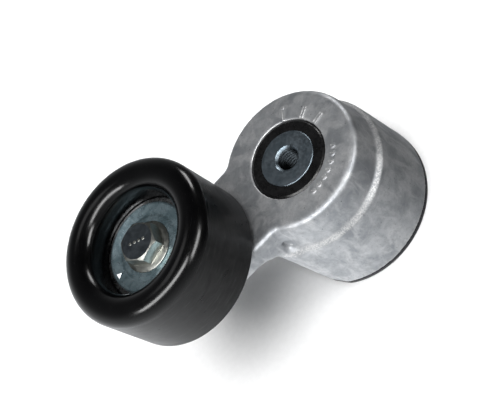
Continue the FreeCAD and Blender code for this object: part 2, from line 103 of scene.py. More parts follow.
def outline(points):
    """Corners (r, z) or (r, z, fillet) as a closed run of points, each fillet an arc."""
    run = []
    for i, corner in enumerate(points):
        here = np.array(corner[:2], float)
        if len(corner) == 2:
            run.append(here)
            continue
        fillet = corner[2]
        toward = [np.array(points[k][:2], float) - here for k in (i - 1, (i + 1) % len(points))]
        u, v = (t / np.linalg.norm(t) for t in toward)
        half = math.acos(max(-1.0, min(1.0, float(u @ v)))) / 2
        centre = here + (u + v) / np.linalg.norm(u + v) * fillet / math.sin(half)
        first, last = (here + t * fillet / math.tan(half) - centre for t in (u, v))
        start = math.atan2(first[1], first[0])
        sweep = math.atan2(last[1], last[0]) - start
        sweep = (sweep + math.pi) % (2 * math.pi) - math.pi
        steps = 3 + int(5 * fillet ** 0.5 * abs(sweep))
        for k in range(steps + 1):
            a = start + sweep * k / steps
            run.append(centre + fillet * np.array((math.cos(a), math.sin(a))))
    return run


def wrap(name, rings, centre=0.0, around=192, closed=True, sharp=32.0):
    """A mesh through rings of (radius, height), each a number or one per direction."""
    angle = np.arange(around) * 2 * math.pi / around
    rows = []
    for radius, height in rings:
        radius = np.broadcast_to(radius, around)
        height = np.broadcast_to(height, around)
        rows.append(np.stack(
            (centre + radius * np.cos(angle), radius * np.sin(angle), height), axis=1))
    points = np.concatenate(rows) * MM
    faces = []
    for i in range(len(rings) if closed else len(rings) - 1):
        j = (i + 1) % len(rings)
        for k in range(around):
            m = (k + 1) % around
            faces.append((i * around + k, i * around + m, j * around + m, j * around + k))
    mesh = bpy.data.meshes.new(name)
    mesh.from_pydata(points.tolist(), [], faces)
    tidy(mesh, sharp)
    return mesh


def tidy(mesh, sharp=32.0, merge=1e-6):
    """Merge points that meet, turn faces outward and shade smooth between real edges."""
    work = bmesh.new()
    work.from_mesh(mesh)
    bmesh.ops.remove_doubles(work, verts=work.verts, dist=merge)
    bmesh.ops.dissolve_degenerate(work, edges=work.edges, dist=merge / 4)
    bmesh.ops.recalc_face_normals(work, faces=work.faces)
    work.to_mesh(mesh)
    work.free()
    mesh.shade_smooth()
    mesh.set_sharp_from_angle(angle=math.radians(sharp))


def lathe(name, points, centre=0.0, around=192, sharp=32.0):
    """A closed outline turned round a vertical axis at x = centre."""
    return wrap(name, [tuple(p) for p in outline(points)], centre, around, True, sharp)


def even_normals(made):
    """Keep flat faces flat beside their small fillets."""
    weigh = made.modifiers.new("Normals", "WEIGHTED_NORMAL")
    weigh.keep_sharp = True
    return made


def join(name, meshes):
    """Several meshes as one."""
    work = bmesh.new()
    for mesh in meshes:
        work.from_mesh(mesh)
    made = bpy.data.meshes.new(name)
    work.to_mesh(made)
    work.free()
    made.shade_smooth()
    made.set_sharp_from_angle(angle=math.radians(32.0))
    return made


# ---- material helpers ----------------------------------------------------------------
class Look:
    """A node material round one Principled shader, patterned in object space (metres)."""

    def __init__(self, name, **settings):
        self.material = bpy.data.materials.new(name)
        self.material.use_nodes = True
        self.tree = self.material.node_tree
        self.shader = self.tree.nodes["Principled BSDF"]
        for key, value in settings.items():
            self.shader.inputs[key.replace("_", " ")].default_value = value
        self.place = self.add("ShaderNodeTexCoord").outputs["Object"]

    def add(self, kind, links=None, **settings):
        """A node of this kind; links holds an input's value or the socket that feeds it."""
        node = self.tree.nodes.new(kind)
        for key, value in settings.items():
            setattr(node, key, value)
        for key, value in (links or {}).items():
            if isinstance(value, bpy.types.NodeSocket):
                self.tree.links.new(value, node.inputs[key])
            else:
                node.inputs[key].default_value = value
        return node

    def noise(self, size, detail=4.0, rough=0.55, bend=0.0, stretch=None):
        """Cloudy pattern whose features are about size millimetres."""
        place = self.place
        if stretch:
            place = self.add("ShaderNodeMapping", {"Vector": place, "Scale": stretch}).outputs[0]
        return self.add("ShaderNodeTexNoise", {
            "Vector": place, "Scale": 1 / (size * MM), "Detail": detail,
            "Roughness": rough, "Distortion": bend}).outputs["Fac"]

    def band(self, value, low, high, bottom=0.0, top=1.0):
        """Carry value from low..high smoothly to bottom..top."""
        return self.add("ShaderNodeMapRange", {
            "Value": value, "From Min": low, "From Max": high,
            "To Min": bottom, "To Max": top}, interpolation_type="SMOOTHSTEP").outputs["Result"]

    def combine(self, operation, first, second):
        """One arithmetic step on two values, such as ADD, MULTIPLY or POWER."""
        return self.add("ShaderNodeMath", {0: first, 1: second}, operation=operation).outputs[0]

    def mix(self, amount, first, second):
        """Colour mix; a colour is three numbers or another mix."""
        node = self.add("ShaderNodeMix", data_type="RGBA")
        for key, value in (("Factor", amount), ("A", first), ("B", second)):
            for socket in node.inputs:
                if socket.name == key and socket.type == ("VALUE" if key == "Factor" else "RGBA"):
                    if isinstance(value, bpy.types.NodeSocket):
                        self.tree.links.new(value, socket)
                    else:
                        socket.default_value = value if key == "Factor" else (*value, 1.0)
        return [s for s in node.outputs if s.type == "RGBA"][0]

    def edges(self, low=0.52, high=0.6):
        """1 on outer edges, 0 on faces and in hollows."""
        return self.band(self.add("ShaderNodeNewGeometry").outputs["Pointiness"], low, high)

    def hollows(self, low=0.4, high=0.49):
        """1 in hollow corners, 0 elsewhere."""
        return self.band(self.add("ShaderNodeNewGeometry").outputs["Pointiness"], high, low)

    def set(self, key, value):
        """Feed one input of the Principled shader."""
        self.tree.links.new(value, self.shader.inputs[key])

    def bump(self, height, depth, strength=1.0):
        """Raise the surface by height (0 to 1) times depth in millimetres; calls stack."""
        links = {"Height": height, "Distance": depth * MM, "Strength": strength}
        if self.shader.inputs["Normal"].is_linked:
            links["Normal"] = self.shader.inputs["Normal"].links[0].from_socket
        self.set("Normal", self.add("ShaderNodeBump", links).outputs[0])


def cast_aluminium():
    """Die cast skin: cloudy flow marks, fine pitting, painted shade in hollow corners, paler edges that
    are partly wear and partly a painted highlight, and a painted highlight on the step band round the
    cup.
    """
    look = Look("cast_aluminium", Metallic=0.9)
    clouds = look.noise(14.0, 5.0, 0.62, 0.4)
    flow = look.noise(6.0, 5.0, 0.65, 0.5, (1.0, 1.0, 0.45))
    mottle = look.noise(2.2, 5.0, 0.68, 0.4)
    grain = look.noise(0.45, 2.0, 0.5)
    specks = look.noise(0.8, 1.0, 0.5)
    tone = look.mix(look.band(clouds, 0.34, 0.66), (0.33, 0.345, 0.365), (0.52, 0.532, 0.547))
    tone = look.mix(look.band(flow, 0.42, 0.68, 0.0, 0.6), tone, (0.70, 0.705, 0.71))
    tone = look.mix(look.band(mottle, 0.5, 0.3, 0.0, 0.32), tone, (0.30, 0.305, 0.315))
    tone = look.mix(look.band(grain, 0.42, 0.3, 0.0, 0.3), tone, (0.24, 0.24, 0.245))
    tone = look.mix(look.band(specks, 0.27, 0.22, 0.0, 0.8), tone, (0.07, 0.07, 0.072))
    # Painted shade: darker in hollow corners.
    tone = look.mix(look.hollows(), tone, (0.24, 0.235, 0.23))
    # Painted highlight: the step band round the cup is painted paler, in patches.
    height = look.add("ShaderNodeSeparateXYZ", {0: look.place}).outputs[2]
    ragged = look.combine("ADD", height, look.combine("MULTIPLY", look.noise(3.0, 3.0), 1.2 * MM))
    above = look.band(ragged, BAND_LOW * MM, (BAND_LOW + 1.2) * MM)
    below = look.band(ragged, (BAND_HIGH + 0.3) * MM, (BAND_HIGH - 0.9) * MM)
    patchy = look.band(look.noise(0.7, 4.0, 0.7), 0.4, 0.62)
    painted_band_highlight = look.combine("MULTIPLY", look.combine("MULTIPLY", above, below), patchy)
    tone = look.mix(look.combine("MULTIPLY", painted_band_highlight, 0.6), tone, (0.93, 0.92, 0.90))
    # Paler edges: partly wear, partly a painted highlight on the rounded cast edges.
    rubbed = look.band(look.noise(1.1, 4.0, 0.7), 0.3, 0.6, 0.2, 0.75)
    worn = look.combine("MULTIPLY", look.edges(0.513, 0.58), rubbed)
    look.set("Base Color", look.mix(worn, tone, (0.93, 0.925, 0.915)))
    look.set("Roughness", look.band(mottle, 0.3, 0.7, 0.56, 0.44))
    look.bump(clouds, 0.3, 0.35)
    look.bump(mottle, 0.09, 0.4)
    look.bump(grain, 0.04, 0.45)
    return look.material


def plated(name, tone, dull, rough, turned_about=None, metallic=1.0, bore=None):
    """Zinc plated steel: cloudy, with turning marks about an axis at x = turned_about, and
    darker below the height bore, where a hole goes in, as painted shade in the bore."""
    look = Look(name, Metallic=metallic)
    clouds = look.noise(5.0, 4.0, 0.6, 0.5)
    grain = look.noise(0.3, 2.0, 0.5)
    base = look.mix(look.band(clouds, 0.3, 0.7), dull, tone)
    if bore is not None:
        depth = look.add("ShaderNodeSeparateXYZ", {0: look.place}).outputs[2]
        # Painted shade: the bore gets darker below its mouth.
        painted_bore_shade = look.band(depth, (bore - 0.1) * MM, (bore - 1.6) * MM)
        base = look.mix(painted_bore_shade, base, [0.08 * t for t in tone])
    look.set("Base Color", base)
    look.set("Roughness", look.band(look.noise(1.3, 3.0), 0.3, 0.7, rough, rough + 0.16))
    if turned_about is not None:
        shift = look.add("ShaderNodeVectorMath", {
            0: look.place, 1: (-turned_about * MM, 0.0, 0.0)}, operation="ADD").outputs[0]
        axes = look.add("ShaderNodeSeparateXYZ", {0: shift}).outputs
        squares = [look.combine("MULTIPLY", axes[k], axes[k]) for k in (0, 1)]
        radius = look.combine("POWER", look.combine("ADD", *squares), 0.5)
        marks = look.add("ShaderNodeTexNoise", {
            "W": radius, "Scale": 1 / (0.25 * MM), "Detail": 2.0}, noise_dimensions="1D")
        look.bump(marks.outputs["Fac"], 0.02, 0.35)
    look.bump(grain, 0.01, 0.25)
    return look.material


def gloss_coat():
    """Gloss black coat of the pulley's front: slight orange peel and a little dust."""
    look = Look("gloss_coat", IOR=1.45)
    flow = look.noise(1.6, 2.0, 0.5)
    dust = look.noise(0.5, 1.0, 0.5)
    look.set("Base Color", look.mix(
        look.band(dust, 0.27, 0.2), (0.001, 0.001, 0.0012), (0.02, 0.02, 0.02)))
    look.set("Roughness", look.band(look.noise(7.0, 3.0), 0.3, 0.7, 0.16, 0.22))
    look.bump(flow, 0.018, 0.5)
    return look.material


def belt_coat():
    """Belt face: the coat rubbed satin, with faint streaks round the pulley."""
    look = Look("belt_coat", IOR=1.35)
    cloud = look.noise(11.0, 4.0, 0.6, 0.6, (1.0, 1.0, 1.8))
    streak = look.noise(2.6, 3.0, 0.6, 0.0, (0.4, 0.4, 3.0))
    tone = look.mix(look.band(cloud, 0.35, 0.7), (0.004, 0.004, 0.0043), (0.013, 0.013, 0.0133))
    look.set("Base Color", look.mix(look.band(streak, 0.5, 0.75, 0.0, 0.6), tone,
                                    (0.028, 0.028, 0.0285)))
    look.set("Roughness", look.band(cloud, 0.3, 0.7, 0.27, 0.37))
    look.bump(look.noise(0.5, 2.0), 0.02, 0.35)
    look.bump(streak, 0.03, 0.25)
    return look.material


def moulded(name, tone, worn, rough, grain=0.35, depth=0.03):
    """Moulded plastic or rubber: fine grain, slight cloudiness, paler on its edges."""
    look = Look(name, IOR=1.48)
    cloud = look.noise(6.0, 3.0)
    base = look.mix(look.band(cloud, 0.3, 0.7, 0.0, 0.6), tone, worn)
    look.set("Base Color", look.mix(look.edges(0.53, 0.66), base, worn))
    look.set("Roughness", look.band(look.noise(1.5, 3.0), 0.3, 0.7, rough - 0.06, rough + 0.08))
    look.bump(look.noise(grain, 2.0), depth, 0.4)
    return look.material


def steel(name, tone, rough, stain):
    """Ground, phosphated or painted steel with fine scatter and clouds of stain.  A pale tone
    is bare metal, a dark one a coat over it."""
    look = Look(name, Metallic=1.0 if max(tone) > 0.2 else 0.55)
    cloud = look.noise(4.0, 4.0, 0.6, 0.4)
    base = look.mix(look.band(cloud, 0.35, 0.7, 0.0, 0.7), tone, stain)
    look.set("Base Color", look.mix(look.edges(0.53, 0.64), base, [min(1.0, t * 1.8) for t in tone]))
    look.set("Roughness", look.band(look.noise(1.0, 3.0), 0.3, 0.7, rough - 0.05, rough + 0.1))
    look.bump(look.noise(0.3, 2.0), 0.015, 0.4)
    return look.material


def floor_paper():
    """Plain pale studio paper."""
    look = Look("floor_paper", Roughness=0.9)
    fibre = look.noise(3.0, 4.0)
    look.set("Base Color", look.mix(look.band(fibre, 0.3, 0.7), (0.90, 0.90, 0.90), (0.93, 0.93, 0.93)))
    look.bump(fibre, 0.05, 0.1)
    return look.material


def white_paint():
    """Slightly uneven white marking paint."""
    look = Look("white_paint", IOR=1.45)
    cloud = look.noise(0.6, 3.0)
    look.set("Base Color", look.mix(look.band(cloud, 0.3, 0.7), (0.82, 0.84, 0.85), (0.9, 0.92, 0.93)))
    look.set("Roughness", look.band(cloud, 0.3, 0.7, 0.4, 0.55))
    look.bump(cloud, 0.02, 0.4)
    return look.material


ALUMINIUM = cast_aluminium()
ZINC_HEAD = plated("zinc_spindle", (0.30, 0.355, 0.40), (0.20, 0.25, 0.29), 0.32, 0.0, 1.0, SPINDLE_TOP)
ZINC_SHEET = plated("zinc_shield", (0.27, 0.35, 0.385), (0.13, 0.19, 0.215), 0.24, CENTRES, 0.85)
ZINC_BOLT = plated("zinc_bolt", (0.60, 0.61, 0.56), (0.42, 0.43, 0.40), 0.3)
# Painted shade: a darker copy of the bolt's zinc for the flat top of its head.
BOLT_TOP_PAINTED_DARK = plated("zinc_bolt_top_painted_dark", (0.17, 0.195, 0.215), (0.09, 0.105, 0.12), 0.34)
GLOSS = gloss_coat()
BELT = belt_coat()
BLACK_PLASTIC = moulded("black_plastic", (0.0015, 0.0015, 0.0017), (0.005, 0.005, 0.0053), 0.3)
RUBBER = moulded("seal_rubber", (0.010, 0.010, 0.010), (0.022, 0.022, 0.022), 0.62, 0.2)
NYLON = moulded("natural_nylon", (0.66, 0.63, 0.56), (0.78, 0.76, 0.7), 0.45)
BUSH = moulded("filled_nylon", (0.11, 0.11, 0.10), (0.2, 0.2, 0.19), 0.5, 0.25)
CAGE = moulded("cage_nylon", (0.46, 0.35, 0.2), (0.6, 0.5, 0.32), 0.42, 0.3)
BLACK_STEEL = steel("black_steel", (0.02, 0.02, 0.022), 0.42, (0.012, 0.012, 0.013))
SPRING = steel("phosphate_spring", (0.06, 0.06, 0.066), 0.5, (0.035, 0.035, 0.036))
GROUND = steel("ground_steel", (0.56, 0.57, 0.58), 0.26, (0.46, 0.47, 0.48))
BALL = steel("ball_steel", (0.66, 0.67, 0.68), 0.09, (0.6, 0.61, 0.62))
PAINT = white_paint()


# ---- arm -----------------------------------------------------------------------------
CAST_STEP = 0.62 * MM       # grid of the cast skin
CAST_ROUNDS = 3             # smoothing rounds, which give the edges their cast radius
CAST_KEEP = 0.8             # share of the faces that is kept


def recast(node):
    """The CAD casting on an even grid, every edge worn round as a die casting's are."""
    rough = bpy.data.objects.new("rough_casting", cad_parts[node].data.copy())
    scene.collection.objects.link(rough)
    grid = rough.modifiers.new("Grid", "REMESH")
    grid.mode = "VOXEL"
    grid.voxel_size = CAST_STEP
    soft = rough.modifiers.new("Soft", "SMOOTH")
    soft.factor = 0.5
    soft.iterations = CAST_ROUNDS
    thin = rough.modifiers.new("Thin", "DECIMATE")
    thin.ratio = CAST_KEEP
    graph = bpy.context.evaluated_depsgraph_get()
    mesh = bpy.data.meshes.new_from_object(rough.evaluated_get(graph))
    bpy.data.objects.remove(rough)
    mesh.name = "arm_casting"
    mesh.materials.clear()
    melt(mesh)
    mesh.shade_smooth()
    return mesh


# The end of the cup's step: middle and half sizes of the zone that is smoothed.
MELT_AT, MELT_REACH = (28.0, 25.5, 42.0), (9.5, 7.0, 7.0)
MELT_ROUNDS = 48


def melt(mesh):
    """Run the end of the step into the arm, on both sides, most at the zone's middle."""
    work = bmesh.new()
    work.from_mesh(mesh)
    near = []
    for vert in work.verts:
        x, y, z = vert.co.x / MM, abs(vert.co.y) / MM, vert.co.z / MM
        off = [(c - mid) / reach for c, mid, reach in zip((x, y, z), MELT_AT, MELT_REACH)]
        far = math.sqrt(sum(o * o for o in off))
        if far < 1.0:
            near.append((vert, far))
    for k in range(MELT_ROUNDS):
        inner = [vert for vert, far in near if far < 1.0 - k / MELT_ROUNDS]
        bmesh.ops.smooth_vert(work, verts=inner, factor=0.5, use_axis_x=True, use_axis_y=True,
                              use_axis_z=True)
    work.to_mesh(mesh)
    work.free()


def bar(radius, length, width, height, azimuth, side):
    """One raised rib with a rounded top, pointing outward on the hub face from a radius and
    set off sideways by side."""
    a = math.radians(azimuth)
    along, across = np.array((math.cos(a), math.sin(a))), np.array((-math.sin(a), math.cos(a)))
    rows = []
    profile = [(-0.5, -0.4), (-0.46, 0.45), (-0.3, 0.85), (0.0, 1.0),
               (0.3, 0.85), (0.46, 0.45), (0.5, -0.4)]
    stations = [(0.0, 0.3), (0.18, 0.8), (0.5, 1.0),
                (length - 0.5, 1.0), (length - 0.18, 0.8), (length, 0.3)]
    for run, scale in stations:
        ring = []
        for w, h in profile:
            flat = along * (radius + run) + across * (side + w * width * (0.6 + 0.4 * scale))
            ring.append((*flat, HUB_FACE + h * height * (scale if h > 0 else 1.0)))
        rows.append(ring)
    count = len(profile)
    points = [tuple(c * MM for c in p) for ring in rows for p in ring]
    faces = []
    for i in range(len(rows) - 1):
        for k in range(count):
            m = (k + 1) % count
            faces.append((i * count + k, i * count + m, (i + 1) * count + m, (i + 1) * count + k))
    faces.append(tuple(range(count)))
    faces.append(tuple(range((len(rows) - 1) * count, len(rows) * count)))
    mesh = bpy.data.meshes.new("bar")
    mesh.from_pydata(points, [], faces)
    tidy(mesh, 60.0)
    return mesh


def dome(x, y, radius, height):
    """One raised dot with a slightly hollow top."""
    foot = HUB_FACE - 0.3
    mesh = lathe("dome", [
        (0.0, foot), (radius, foot), (radius, HUB_FACE + height * 0.6, 0.15),
        (radius * 0.7, HUB_FACE + height, 0.15), (0.0, HUB_FACE + height * 0.8)], 0.0, 24, 60.0)
    mesh.transform(Matrix.Translation((x * MM, y * MM, 0.0)))
    return mesh


def polar(radius, degrees):
    """Place (x, y) at a radius and direction."""
    a = math.radians(degrees)
    return radius * math.cos(a), radius * math.sin(a)


piece("arm_casting", recast("arm_housing"), [ALUMINIUM], "arm", "cast_aluminium", "arm_housing")

# Raised marks on the hub face: index bars, one single and two pairs, and a row of dots.
MARK_H = 0.45
MARK_IN, MARK_LENGTH, MARK_W = 19.5, 5.7, 0.75
MARK_GAP = 0.65
SINGLE_BAR, PAIRED_BARS = -120.4, (-148.3, -171.3)
PIP_R, PIP_PAST, PIP_AT = 0.9, 0.6, -121.0
DOT_R, DOT_RING_R, DOT_COUNT = 1.4, 22.9, 7
DOT_START, DOT_SWEEP = 88.6, 56.0

bars = [bar(MARK_IN, MARK_LENGTH, MARK_W, MARK_H, SINGLE_BAR, 0.0)]
for azimuth in PAIRED_BARS:
    for side in (-MARK_GAP, MARK_GAP):
        bars.append(bar(MARK_IN, MARK_LENGTH, MARK_W, MARK_H, azimuth, side))
bars.append(dome(*polar(MARK_IN + MARK_LENGTH + PIP_PAST, PIP_AT), PIP_R, MARK_H))
piece("index_bars", join("index_bars", bars), [ALUMINIUM], "arm", "cast_aluminium")
dots = []
for k in range(DOT_COUNT):
    x, y = polar(DOT_RING_R, DOT_START + DOT_SWEEP / (DOT_COUNT - 1) * k)
    dots.append(dome(x, y, DOT_R, MARK_H))
piece("cast_dots", join("cast_dots", dots), [ALUMINIUM], "arm", "cast_aluminium")

# ---- pivot ---------------------------------------------------------------------------
COLLAR_BORE = 10.05
HEAD_BACK, SHANK_R, FOOT_R = 54.5, 10.0, 9.0
collar = lathe("thrust_collar", [
    (COLLAR_BORE, COLLAR_BACK, 0.3), (COLLAR_R, COLLAR_BACK, 0.2), (COLLAR_R, COLLAR_TOP - 0.9, 0.3),
    (COLLAR_R - 1.1, COLLAR_TOP, 0.35), (HEAD_R + 0.1, COLLAR_TOP, 0.12),
    (HEAD_R + 0.1, HEAD_BACK - 0.1), (COLLAR_BORE, HEAD_BACK - 0.1)])
even_normals(piece("thrust_collar_moulding", collar, [BLACK_PLASTIC],
                   "arm", "black_plastic", "thrust_collar"))

THREAD_R, THREAD_DEPTH, THREAD_PITCH = 5.1, 0.85, 1.75


def threaded_spindle():
    """Pivot spindle with a real screw thread in its bore."""
    around = 96
    turn = np.arange(around) / around
    outside = [tuple(p) for p in outline([
        (FOOT_R, 0.0, 0.3), (FOOT_R, PLATE_T), (SHANK_R, PLATE_T), (SHANK_R, HEAD_BACK),
        (HEAD_R, HEAD_BACK, 0.1),
        (HEAD_R, SPINDLE_TOP - 0.25, 0.1), (HEAD_R - 0.25, SPINDLE_TOP, 0.1),
        (THREAD_R + 1.2, SPINDLE_TOP, 0.12), (THREAD_R, SPINDLE_TOP - 1.2)])]
    top = outside.pop()[1]
    rings = outside
    step = THREAD_PITCH / 8
    for height in np.arange(top, 0.0, -step):
        phase = (height / THREAD_PITCH - turn) % 1.0
        tooth = np.clip(1.6 * (0.5 - np.abs(phase - 0.5)) / 0.5 - 0.3, 0.0, 1.0)
        fade = min(1.0, max(0.0, (top - height) / 0.6))
        rings.append((THREAD_R + THREAD_DEPTH * fade * tooth, height))
    rings.append((THREAD_R, 0.0))
    return wrap("spindle", rings, 0.0, around, True, 35.0)


piece("turned_spindle", threaded_spindle(), [ZINC_HEAD], "base", "zinc_steel", "pivot_spindle")

# ---- pulley --------------------------------------------------------------------------
ROLL_R = (PULLEY_R - RING_R) / 2
inner_roll = ROLL_R - SHEET_T
shell = lathe("pulley_shell", [
    (PULLEY_R, PULLEY_BACK, 0.4), (PULLEY_R, PULLEY_FRONT, ROLL_R - 0.001),
    (RING_R, PULLEY_FRONT, ROLL_R - 0.001), (RING_R, RING_BACK), (RING_R - 1.3, RING_BACK, 0.3),
    (RING_R - 1.3, RING_BACK - 1.6, 0.5), (RING_R + SHEET_T, RING_BACK - 1.6, 1.4),
    (RING_R + SHEET_T, PULLEY_FRONT - SHEET_T, inner_roll - 0.001),
    (PULLEY_R - SHEET_T, PULLEY_FRONT - SHEET_T, inner_roll - 0.001),
    (PULLEY_R - SHEET_T, PULLEY_BACK, 0.5)], CENTRES, 256, 40.0)
BELT_TOP = (PULLEY_FRONT - ROLL_R - 0.4) * MM
BELT_SKIN = (PULLEY_R - 0.3) * MM
rolled = piece("rolled_pulley", shell, [GLOSS, BELT], "pulley", "black_coat", "pulley_shell")
for face in shell.polygons:
    middle = face.center
    far = math.hypot(middle.x - CENTRES * MM, middle.y)
    face.material_index = 1 if far > BELT_SKIN and middle.z < BELT_TOP else 0
even_normals(rolled)


PITCH_R, RACE_REACH, GROOVE_R = 16.0, 4.385, 4.5
GROOVE_STEPS = 8
INNER_BORE = 8.5
SEAL_SEAT, SEAL_DEPTH = 0.7, 1.6      # the seals' recess in the outer ring


def race(name, land, bore, sign):
    """Bearing ring with its raceway, drawn as in the CAD but with rounded corners.  sign is 1
    for the outer ring and -1 for the inner one."""
    centre = (RING_BACK + RING_FACE) / 2
    bottom = PITCH_R + RACE_REACH * sign
    depth = abs(bottom - land)
    half = math.sqrt(GROOVE_R ** 2 - (GROOVE_R - depth) ** 2)
    groove = []
    for k in range(-GROOVE_STEPS, GROOVE_STEPS + 1):
        a = math.asin(half / GROOVE_R) * k / GROOVE_STEPS
        groove.append((bottom - sign * GROOVE_R * (1 - math.cos(a)), centre + GROOVE_R * math.sin(a)))
    outer = sign > 0
    rim = land + SEAL_SEAT if outer else land - 0.2
    low = [(bore, RING_BACK + 0.5, 0.2), (bore - 0.5 * sign, RING_BACK, 0.2), (rim, RING_BACK, 0.1)]
    high = [(rim, RING_FACE, 0.1), (bore - 0.5 * sign, RING_FACE, 0.2), (bore, RING_FACE - 0.5, 0.2)]
    if outer:
        low += [(rim, RING_BACK + SEAL_DEPTH), (land, RING_BACK + SEAL_DEPTH)]
        high = [(land, RING_FACE - SEAL_DEPTH), (rim, RING_FACE - SEAL_DEPTH)] + high
    else:
        low.append((land, RING_BACK + 0.2))
        high = [(land, RING_FACE - 0.2)] + high
    return lathe(name, low + groove + high, CENTRES, 160, 35.0)


even_normals(piece("outer_race", race("outer_race", OUTER_LAND, RING_R, 1), [GROUND],
                   "pulley", "bright_steel", "bearing_outer_ring"))
even_normals(piece("inner_race", race("inner_race", INNER_LAND, INNER_BORE, -1), [GROUND],
                   "arm", "bright_steel", "bearing_inner_ring"))


def seal(name, low):
    """Rubber shield with a moulded bead and a thin lip."""
    out = OUTER_LAND + SEAL_SEAT
    return lathe(name, [
        (INNER_LAND + 0.3, low + 0.25, 0.1), (INNER_LAND + 1.4, low, 0.2), (out, low, 0.2),
        (out, low + 1.0, 0.3), (out - 1.2, low + 1.0, 0.2), (out - 1.5, low + 0.75, 0.2),
        (INNER_LAND + 2.4, low + 0.75, 0.2), (INNER_LAND + 2.0, low + 1.0, 0.2),
        (INNER_LAND + 1.4, low + 1.0, 0.2), (INNER_LAND + 0.3, low + 0.75, 0.1)], CENTRES, 160, 40.0)


for node in ("front_seal", "rear_seal"):
    moulding = seal(node, span(node, 2)[0])
    piece(node + "_moulding", moulding, [RUBBER], "pulley", "seal_rubber", node)

SEAT = RING_FACE + 1.2
BOLT_HOLE, DISH_R = 5.1, 14.2
shield = lathe("dust_shield", [
    (BOLT_HOLE, RING_FACE), (DISH_R, RING_FACE, 0.4), (DISH_R + 1.2, RING_FACE + 0.2, 0.6),
    (SHIELD_R - 1.2, RING_FACE + 0.75, 0.4), (SHIELD_R, RING_FACE + 0.55, 0.12),
    (SHIELD_R, RING_FACE + 1.3, 0.3), (SHIELD_R - 0.7, SHIELD_TOP, 0.3),
    (SHIELD_R - 1.3, SHIELD_TOP, 0.3), (DISH_R + 2.0, RING_FACE + 1.05, 0.5),
    (DISH_R + 1.0, RING_FACE + 0.85, 0.5), (DISH_R - 0.2, SEAT, 0.5), (BOLT_HOLE, SEAT)], CENTRES)
even_normals(piece("pressed_dust_shield", shield, [ZINC_SHEET],
                   "arm", "zinc_sheet", "front_dust_shield"))

REAR, REAR_R = span("rear_dust_shield", 2)[0], 21.2
rear = lathe("rear_shield", [
    (INNER_BORE, REAR + 0.7), (DISH_R, REAR + 0.7, 0.5), (DISH_R + 1.4, REAR, 0.5),
    (REAR_R, REAR, 0.3), (REAR_R, REAR + 1.1, 0.3), (DISH_R + 1.8, REAR + 1.1, 0.8),
    (DISH_R - 0.6, RING_BACK - 0.4, 0.5), (DISH_R - 2.6, RING_BACK, 0.1),
    (INNER_BORE, RING_BACK)], CENTRES)
even_normals(piece("pressed_rear_shield", rear, [ZINC_SHEET],
                   "arm", "zinc_sheet", "rear_dust_shield"))


TRIANGLE_BASE, TRIANGLE_TIP, TRIANGLE_HALF = 18.9, 16.4, 1.5
PAINT_TOP, PAINT_T = SHIELD_TOP + 0.03, 0.08


def triangle_mark():
    """Thin painted triangle on the shield, pointing at the pulley's centre."""
    outer_x, inner_x = CENTRES + TRIANGLE_BASE, CENTRES + TRIANGLE_TIP
    work = bmesh.new()
    verts = [work.verts.new((x * MM, y * MM, PAINT_TOP * MM)) for x, y in (
        (outer_x, -TRIANGLE_HALF), (outer_x, TRIANGLE_HALF), (inner_x, 0.0))]
    face = work.faces.new(verts)
    grown = bmesh.ops.extrude_face_region(work, geom=[face])
    for vert in [g for g in grown["geom"] if isinstance(g, bmesh.types.BMVert)]:
        vert.co.z -= PAINT_T * MM
    bmesh.ops.recalc_face_normals(work, faces=work.faces)
    mesh = bpy.data.meshes.new("triangle_mark")
    work.to_mesh(mesh)
    work.free()
    return mesh


piece("triangle_mark", triangle_mark(), [PAINT], "arm", "zinc_sheet")

BOLT_R = 5.0
CHAMFER_R = ACROSS_FLATS * 0.472                   # where the head's flat top ends
CHAMFER_SLOPE = 1.9 / (ACROSS_FLATS * 0.188)


def hex_bolt():
    """Flange bolt: hex head whose flats end in a turned chamfer."""
    around = 240
    angle = np.degrees(np.arange(around) * 2 * math.pi / around)
    flat = ACROSS_FLATS / 2
    swing = np.radians((angle - HEX_TURN + 30.0) % 60.0 - 30.0)
    hexagon = flat / np.cos(np.radians(30.0) - np.abs(swing))
    shoulder = BOLT_TOP - (hexagon - CHAMFER_R) * CHAMFER_SLOPE
    foot = SEAT + 1.36
    lower = [(0.0, BOLT_TIP), (BOLT_R - 0.8, BOLT_TIP), (BOLT_R, BOLT_TIP + 0.8), (BOLT_R, SEAT),
             (FLANGE_R - 0.3, SEAT), (FLANGE_R, SEAT + 0.15), (FLANGE_R, SEAT + 0.4),
             (FLANGE_R - 0.2, SEAT + 0.62), (FLANGE_R - 1.6, SEAT + 1.18),
             (FLANGE_R - 1.85, SEAT + 1.28)]
    upper = [(hexagon + 0.1, foot), (hexagon, foot + 0.3), (hexagon, shoulder),
             (CHAMFER_R, BOLT_TOP), (6.9, BOLT_TOP), (0.0, BOLT_TOP)]
    return wrap("hex_bolt", lower + upper, CENTRES, around, False, 28.0)


bolt = piece("flange_bolt", hex_bolt(), [ZINC_BOLT, BOLT_TOP_PAINTED_DARK], "arm", "zinc_steel", "pulley_bolt")
# The flat top of the head takes the darker copy, as painted shade.
for face in bolt.data.polygons:
    face.material_index = 1 if face.center.z > (BOLT_TOP - 0.02) * MM else 0
round_edges = bolt.modifiers.new("Round", "BEVEL")
round_edges.width = 0.16 * MM
round_edges.segments = 2
round_edges.limit_method = "ANGLE"
round_edges.angle_limit = math.radians(24.0)
even_normals(bolt)


HEAD_DOT_R, HEAD_DOT_H, HEAD_DOT_PITCH, HEAD_DOT_TURN = 0.75, 0.3, 2.3, 155.0


def head_dots():
    """A plain row of four raised dots across the bolt head."""
    dots = []
    for k in range(4):
        x, y = polar(HEAD_DOT_PITCH * (k - 1.5), HEAD_DOT_TURN)
        dot = dome(x, y, HEAD_DOT_R, HEAD_DOT_H)
        dot.transform(Matrix.Translation((CENTRES * MM, 0.0, (BOLT_TOP - 0.05 - HUB_FACE) * MM)))
        dots.append(dot)
    return join("head_dots", dots)


